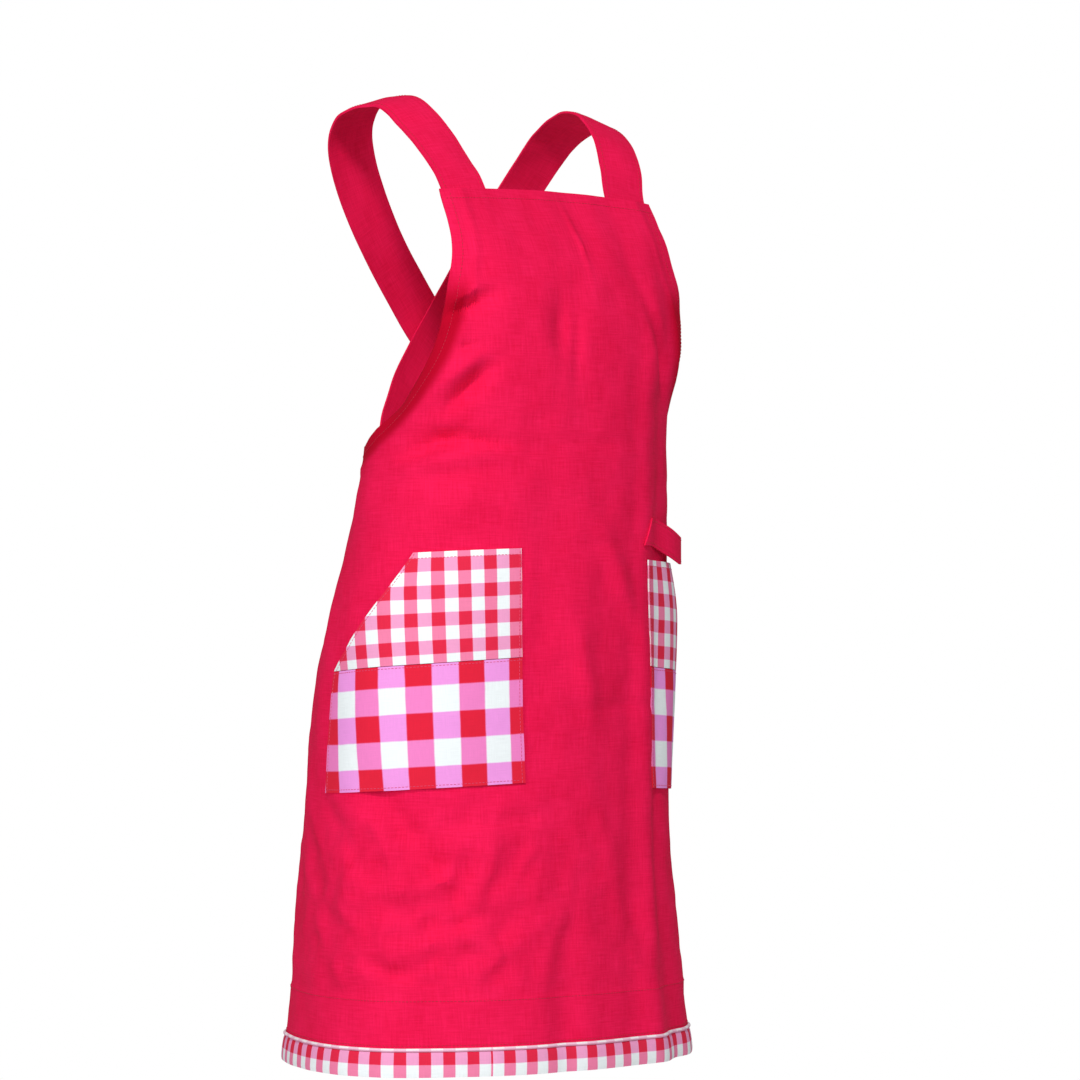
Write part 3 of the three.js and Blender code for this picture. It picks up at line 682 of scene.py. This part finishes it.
def hemPiece(name, strip, material, solid):
    angle = np.linspace(-hem["back"], hem["back"], hem["columns"] + 1)[None, :]
    t = np.linspace(0, 1, strip["rows"] + 1)[:, None]
    z = -size["drop"] * (strip["foot"] + (strip["top"] - strip["foot"]) * t) + 0 * angle
    angle = angle + 0 * z
    rounded = np.sqrt(np.clip(1 - (2 * t - 1) ** 2, 0, 1))
    wall = strip["wall"] * (hem["rim"] + (1 - hem["rim"]) * rounded) + 0 * angle
    out = hem["gap"] + strip["spread"] * (1 - t) + 0 * angle
    seam = hem["joinDeep"] * np.exp(-((angle - hem["joinAngle"]) / hem["joinWide"]) ** 2)
    pastJoin = angle > hem["joinAngle"]
    patternShift = np.where(pastJoin, hem["check"] - hem["joinShift"], hem["joinShift"])
    run = arc(angle, z) - arc(hem["joinAngle"], z) + patternShift
    tall = hem["checksTall"] * hem["check"] * (1 - t) + 0 * angle
    outer = layer(angle, z, out + wall - seam, hem["fine"])
    obj = shell(name, outer, layer(angle, z, out, hem["fine"]), np.stack([run, tall], -1))
    return pieceOf(obj, material, [solid])


hemBand = hemPiece("hem_band_cloth", band, hemGingham, "hem_band")
hemPiping = hemPiece("hem_flange_cloth", flange, pipingGingham, "hem_piping")
print("stage: hem")

# The towel loop: a slack doubled strip at the left hip, sewn flat at both ends.
loop = {"width": 0.025, "wall": 0.0016, "gap": 0.001, "stand": 0.0095, "sag": 0.017,
        "start": 27, "end": 88, "down": 0.4523, "sewn": 0.06, "slackFull": 0.46,
        "slant": 2.5, "columns": 120, "rows": 12}


def loopSpot(u, v):
    slack = ease(loop["sewn"], loop["slackFull"], u) * ease(loop["sewn"], loop["slackFull"], 1 - u)
    angle = loop["start"] + (loop["end"] - loop["start"]) * u + loop["slant"] * (2 * v - 1) * (1 - u)
    z = -size["drop"] * loop["down"] - loop["sag"] * slack + loop["width"] * (v - 0.5)
    return angle, z, loop["gap"] + loop["stand"] * slack


loopU, loopV = np.meshgrid(np.linspace(0, 1, loop["columns"] + 1),
                           np.linspace(0, 1, loop["rows"] + 1))
loopAngle, loopZ, loopOut = loopSpot(loopU, loopV)
loopUv = np.stack([arc(loopAngle, loopZ), loopV * loop["width"]], -1)
loopOuter = layer(loopAngle, loopZ, loopOut + loop["wall"], 0.0)
loopInner = layer(loopAngle, loopZ, loopOut, 0.0)
towelLoop = shell("towel_loop_cloth", loopOuter, loopInner, loopUv)
pieceOf(towelLoop, redLinen, ["towel_loop"])
print("stage: loop")

# Sewing thread: each stitch is a short rounded bar lying on the cloth.
# Its rings: place along it, then thickness and lift in radii.
stitch = {"pitch": 0.0033, "length": 0.0025, "radius": 0.00028, "sides": 5,
          "rings": ((0.0, 0.35, -0.4), (0.2, 1.0, 0.35), (0.8, 1.0, 0.35), (1.0, 0.35, -0.4))}


def stitches(name, lines):
    verts, faces = [], []
    sides, radius = stitch["sides"], stitch["radius"]
    turns = [2 * math.pi * k / sides for k in range(sides)]
    for points, normals in lines:
        run = np.concatenate([[0], np.cumsum(np.linalg.norm(np.diff(points, axis=0), axis=1))])
        starts = np.arange(0, run[-1] - stitch["length"], stitch["pitch"])
        at = lambda s, data: np.stack([np.interp(s, run, data[:, k]) for k in range(3)], -1)
        a, b = at(starts, points), at(starts + stitch["length"], points)
        n = at(starts + stitch["length"] / 2, normals)
        for p, q, up in zip(a, b, n):
            along = (q - p) / np.linalg.norm(q - p)
            up = up - along * (up @ along)
            up /= np.linalg.norm(up)
            side = np.cross(along, up)
            base = len(verts)
            for place, thick, lift in stitch["rings"]:
                centre = p + (q - p) * place + up * lift * radius
                for turn in turns:
                    spoke = math.cos(turn) * side + math.sin(turn) * up
                    verts.append(centre + spoke * radius * thick)
            for ring in range(len(stitch["rings"]) - 1):
                low, high = base + ring * sides, base + (ring + 1) * sides
                for k in range(sides):
                    k2 = (k + 1) % sides
                    faces.append((low + k, low + k2, high + k2, high + k))
            last = base + (len(stitch["rings"]) - 1) * sides
            faces.append(tuple(base + k for k in reversed(range(sides))))
            faces.append(tuple(last + k for k in range(sides)))
    mesh = bpy.data.meshes.new(name)
    mesh.from_pydata([tuple(v) for v in verts], [], faces)
    mesh.polygons.foreach_set("use_smooth", np.ones(len(faces), bool))
    obj = bpy.data.objects.new(name, mesh)
    bpy.context.collection.objects.link(obj)
    print("piece", name, sum(len(f) - 2 for f in faces), "triangles")
    return obj


def clothLine(angle, z, out, fine=1.0):
    angle, z = np.broadcast_arrays(np.asarray(angle, float), np.asarray(z, float))
    return layer(angle, z, out + 0 * z, fine), outward(angle, z, fine)


def pocketLine(side, isUpper, across, up):
    across, up = np.broadcast_arrays(np.asarray(across, float), np.asarray(up, float))
    angle, z, out = pocketSpot(side, isUpper, across[None, :], up[None, :])
    points = layer(angle[0], z[0], out[0] + pocket["wall"], pocket["fine"])
    return points, outward(angle[0], z[0], pocket["fine"])


# The line that runs inset inside an armhole edge, as angles and heights, by Newton steps.
def armInset(side, inset):
    line = armLines[side]
    tangent = np.gradient(line, axis=0)
    tangent /= np.linalg.norm(tangent, axis=1, keepdims=True)
    inward = np.stack([side * tangent[:, 1], -side * tangent[:, 0]], -1)
    moved = line + inward * inset
    z = moved[:, 1]
    guess = side * armTop
    for _ in range(8):
        rate = arc(guess + 0.5, z) - arc(guess - 0.5, z)
        guess = guess - (arc(guess, z) - moved[:, 0]) / rate
    return guess, z


# Where the lines of stitching run: insets from the edges in metres, heights as shares of
# the drop, and the angles at which they end. A line lies a hair above the cloth.
seam = {"lift": 0.0001, "arm": 0.0095, "armEnd": 158, "belowBib": 0.008, "bib": 0.009,
        "bibEnd": 38.6, "armTop": 0.1, "back": 157.0, "backTop": 0.3665, "backFoot": 0.968,
        "around": ((0.9245, 159), (0.9685, 159.5)),
        "strap": 0.004, "strapStart": 0.9, "strapEnd": 2.2, "loop": 0.1}
redLines = []
for side in (-1, 1):
    angle, z = armInset(side, seam["arm"])
    keep = (np.abs(angle) < seam["armEnd"]) & (z < -seam["armTop"] * size["drop"] - seam["belowBib"])
    redLines.append(clothLine(angle[keep], z[keep], seam["lift"]))
    backDown = np.linspace(seam["backTop"], seam["backFoot"], 700)
    redLines.append(clothLine(side * seam["back"], -size["drop"] * backDown, seam["lift"]))
bibAngles = np.linspace(-seam["bibEnd"], seam["bibEnd"], 300)
bibZ = -size["drop"] * bibEdge(bibAngles / armhole[0, 1]) - seam["bib"]
redLines.append(clothLine(bibAngles, bibZ, seam["lift"]))
for down, end in seam["around"]:
    angle = np.linspace(-end, end, 1200)
    redLines.append(clothLine(angle, -size["drop"] * down, seam["lift"]))
for table, side in ((strapRight, -1), (strapLeft, 1)):
    row = np.linspace(seam["strapStart"], len(table) - seam["strapEnd"], 900)
    top = 0 * row + strap["wall"] / 2 + seam["lift"]
    for edge in (-1, 1):
        shift = 0 * row + edge * (strap["width"] / 2 - seam["strap"])
        redLines.append((strapPoints(table, side, row, shift, top), strapFrame(table, side, row)[2]))
t = np.linspace(0, 1, 400)
for edge in (seam["loop"], 1 - seam["loop"]):
    angle, z, out = loopSpot(t, 0 * t + edge)
    redLines.append((layer(angle, z, out + loop["wall"], 0.0), outward(angle, z, 0.0)))
linenStitches = stitches("linen_stitching", redLines)
pieceOf(linenStitches, redThread, [])

# Insets on the pockets: the sides as a share of the width, the rest in metres.
pocketSeam = {"side": 0.0025 / 0.2, "top": 0.005, "bottom": 0.0025, "joined": 0.002}
edge = pocketSeam["side"]
inside = t * (1 - 2 * edge) + edge
pinkLines = []
for side in (-1, 1):
    pinkLines.append(pocketLine(side, True, 0 * t + 1 - edge, t))
    topUp = 0 * t + 1 - pocketSeam["top"] / pocket["upperTall"]
    pinkLines.append(pocketLine(side, True, inside, topUp))
    pinkLines.append(pocketLine(side, True, 0 * t + 2 * edge, t))
    pinkLines.append(pocketLine(side, False, 0 * t + 1 - edge, t))
    bottomUp = 0 * t + pocketSeam["bottom"] / pocket["lowerTall"]
    pinkLines.append(pocketLine(side, False, inside, bottomUp))
    pinkLines.append(pocketLine(side, False, 0 * t + edge, t))
    joinedUp = 0 * t + 1 - pocketSeam["joined"] / pocket["lowerTall"]
    pinkLines.append(pocketLine(side, False, t, joinedUp))
pocketStitches = stitches("pocket_stitching", pinkLines)
pieceOf(pocketStitches, pinkThread, [])
print("stage: stitching")

# The floor, the pale surroundings and soft studio light.
studio = {"floorZ": -1.30, "floorSide": 2.6, "sky": 1.0, "skyLight": 0.28}
bpy.ops.mesh.primitive_plane_add(size=studio["floorSide"], location=(0, 0, studio["floorZ"]))
floor = bpy.context.object
floor.name = "floor"
floorMaterial, _, floorShader = newMaterial("pale_paper_floor")
floorShader.inputs["Base Color"].default_value = linear("#f4f4f4")
floorShader.inputs["Roughness"].default_value = 0.9
floor.data.materials.append(floorMaterial)

scene = bpy.context.scene
world = bpy.data.worlds.new("studio")
scene.world = world
world.use_nodes = True
worldTree = world.node_tree
seen = node(worldTree, "ShaderNodeLightPath").outputs["Is Camera Ray"]
inputs = {"Value": seen, "To Min": studio["skyLight"], "To Max": studio["sky"]}
strength = node(worldTree, "ShaderNodeMapRange", inputs).outputs["Result"]
background = worldTree.nodes["Background"]
background.inputs["Color"].default_value = (1, 1, 1, 1)
worldTree.links.new(strength, background.inputs["Strength"])
scene.view_settings.view_transform = "Standard"

lightAim = (0, 0, -0.45)


def areaLight(name, settings):
    data = bpy.data.lights.new(name, "AREA")
    data.shape = "RECTANGLE"
    data.size, data.size_y = settings["wide"], settings["tall"]
    data.energy = settings["power"]
    obj = bpy.data.objects.new(name, data)
    obj.location = settings["at"]
    aim = Vector(lightAim) - Vector(settings["at"])
    obj.rotation_euler = aim.to_track_quat("-Z", "Y").to_euler()
    bpy.context.collection.objects.link(obj)


areaLight("key", {"at": (-1.75, -2.1, 1.75), "wide": 0.45, "tall": 0.45, "power": 61})
areaLight("fill", {"at": (-2.9, -0.9, 0.0), "wide": 1.2, "tall": 1.6, "power": 34})
areaLight("front", {"at": (0.2, -3.1, 0.3), "wide": 0.8, "tall": 1.0, "power": 13})

# The photo's viewing angle: from the wearer's right front, a little above the hip.
view = {"azimuth": -40, "distance": 4.0, "eyeZ": -0.450, "aimZ": -0.407, "aside": 0.0286,
        "lens": 144.6}
turn = math.radians(view["azimuth"])
ahead = Vector((-math.sin(turn), math.cos(turn), 0))
right = Vector((math.cos(turn), math.sin(turn), 0))
aim = right * view["aside"] + Vector((0, 0, view["aimZ"]))
camera = bpy.data.objects.new("camera", bpy.data.cameras.new("camera"))
camera.location = aim - ahead * view["distance"] + Vector((0, 0, view["eyeZ"] - view["aimZ"]))
camera.rotation_euler = (aim - camera.location).to_track_quat("-Z", "Y").to_euler()
camera.data.lens = view["lens"]
camera.data.sensor_width = 36
bpy.context.collection.objects.link(camera)
scene.camera = camera
print("stage: studio")
